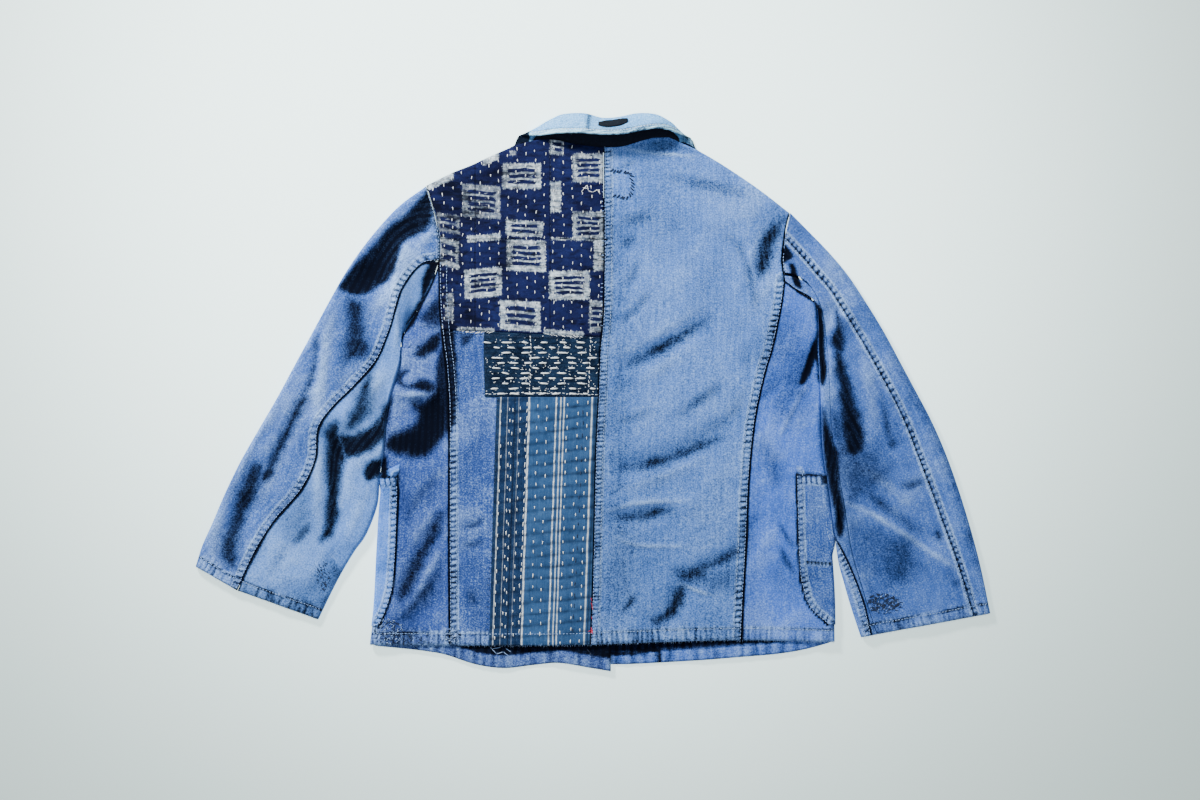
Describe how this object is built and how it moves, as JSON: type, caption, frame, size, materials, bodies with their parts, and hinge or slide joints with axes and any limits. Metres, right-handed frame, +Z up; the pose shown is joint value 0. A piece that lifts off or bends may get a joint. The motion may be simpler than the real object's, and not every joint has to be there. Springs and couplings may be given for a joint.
{
  "type": "patched boro work jacket",
  "caption": "Faded blue patched work jacket laid flat face down, its back, patch panels, turned-down collar and spread sleeves up.",
  "frame": {"origin": "middle of the jacket's outline, on the surface that it lies on", "axes": "+X to the right as the back is seen from above, +Y from the hem toward the collar, +Z up from the surface"},
  "size_m": [1.0716, 0.7502, 0.0408],
  "materials": {
    "faded_blue_twill": "washed matt twill",
    "pale_collar_twill": "bleached matt twill",
    "dark_under_collar": "matt",
    "navy_kasuri": "matt plain weave with pale frayed squares",
    "navy_sashiko": "matt plain weave with white running stitches",
    "blue_stripe": "matt striped plain weave with white running stitches",
    "button_horn": "satin"
  },
  "bodies": {
    "root": {"back_left": "faded_blue_twill", "back_right": "faded_blue_twill", "front_left": "faded_blue_twill", "front_right": "faded_blue_twill", "sleeve_left_top": "faded_blue_twill", "sleeve_left_under": "faded_blue_twill", "sleeve_right_top": "faded_blue_twill", "sleeve_right_under": "faded_blue_twill", "pocket_left": "faded_blue_twill", "pocket_right": "faded_blue_twill", "collar_fall": "pale_collar_twill", "collar_stand": "dark_under_collar", "collar_tab": "dark_under_collar", "patch_kasuri": "navy_kasuri", "patch_sashiko": "navy_sashiko", "patch_stripe": "blue_stripe", "button_1": "button_horn", "button_2": "button_horn", "button_3": "button_horn", "button_4": "button_horn"}
  },
  "joints": []
}
